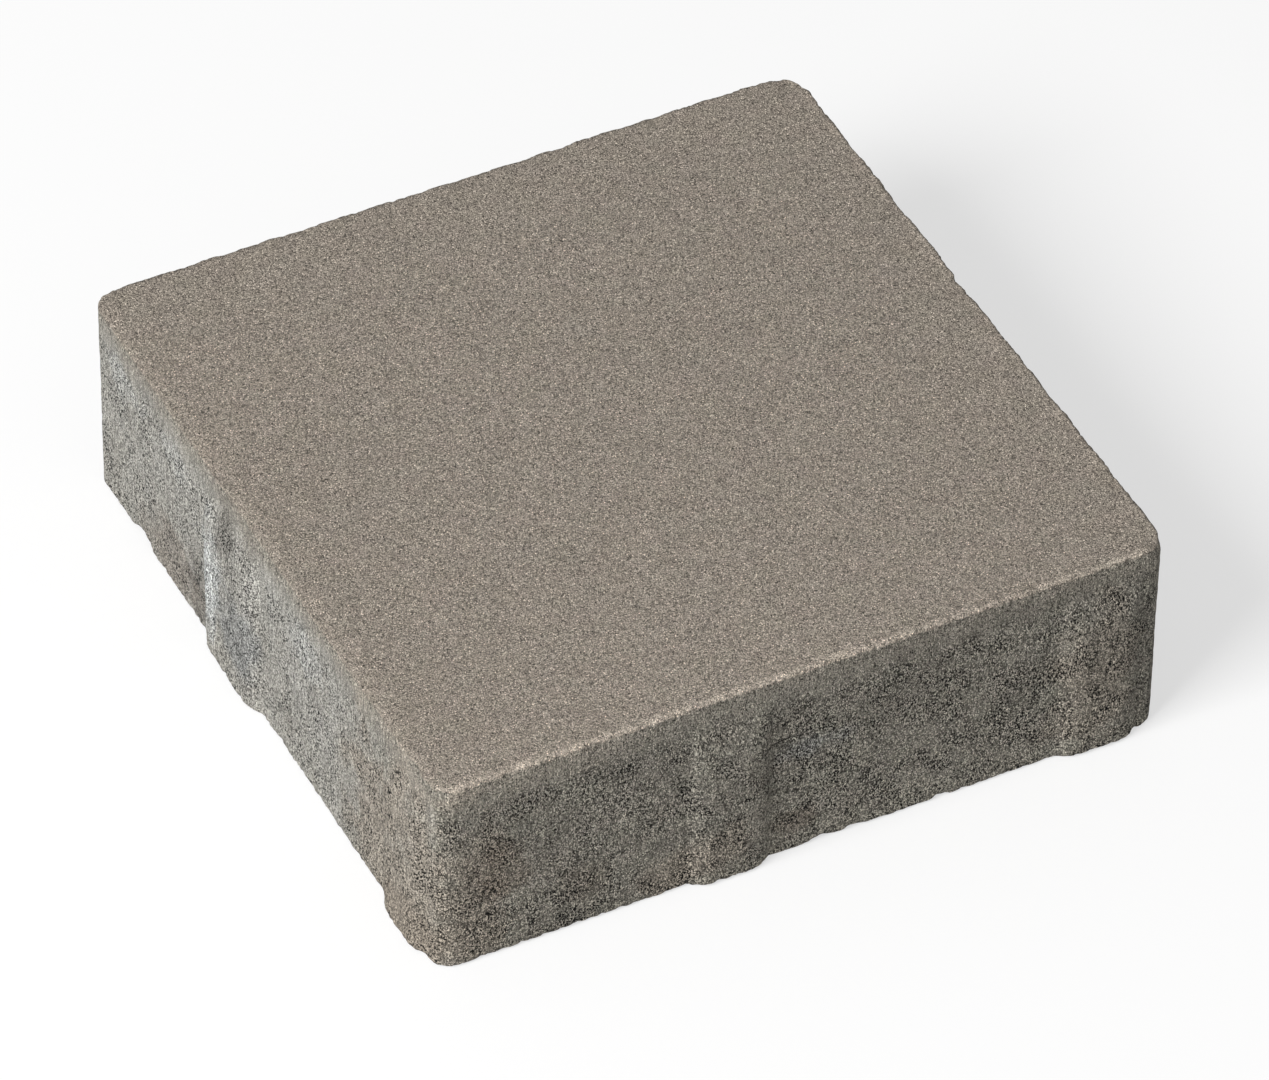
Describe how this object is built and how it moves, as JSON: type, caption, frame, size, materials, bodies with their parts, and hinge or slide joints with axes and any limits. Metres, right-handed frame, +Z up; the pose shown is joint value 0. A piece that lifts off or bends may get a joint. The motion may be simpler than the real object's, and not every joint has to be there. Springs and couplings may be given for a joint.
{
  "type": "concrete paving stone",
  "caption": "Square pressed-concrete paving stone with rounded top edges and upright spacer ribs on its sides, for laying paths and yards on a sand bed.",
  "frame": {"origin": "middle of the underside, on the bed that the stone lies on", "axes": "+Z up through the wearing face; X and Y square to the sides; the broad ribs are on the -X and +X sides"},
  "size_m": [0.2026, 0.2026, 0.06],
  "materials": {
    "concrete": "matt pressed concrete, fine sandy face, pitted sides with lime bloom"
  },
  "bodies": {
    "root": {"paving_stone": "concrete"}
  },
  "joints": []
}
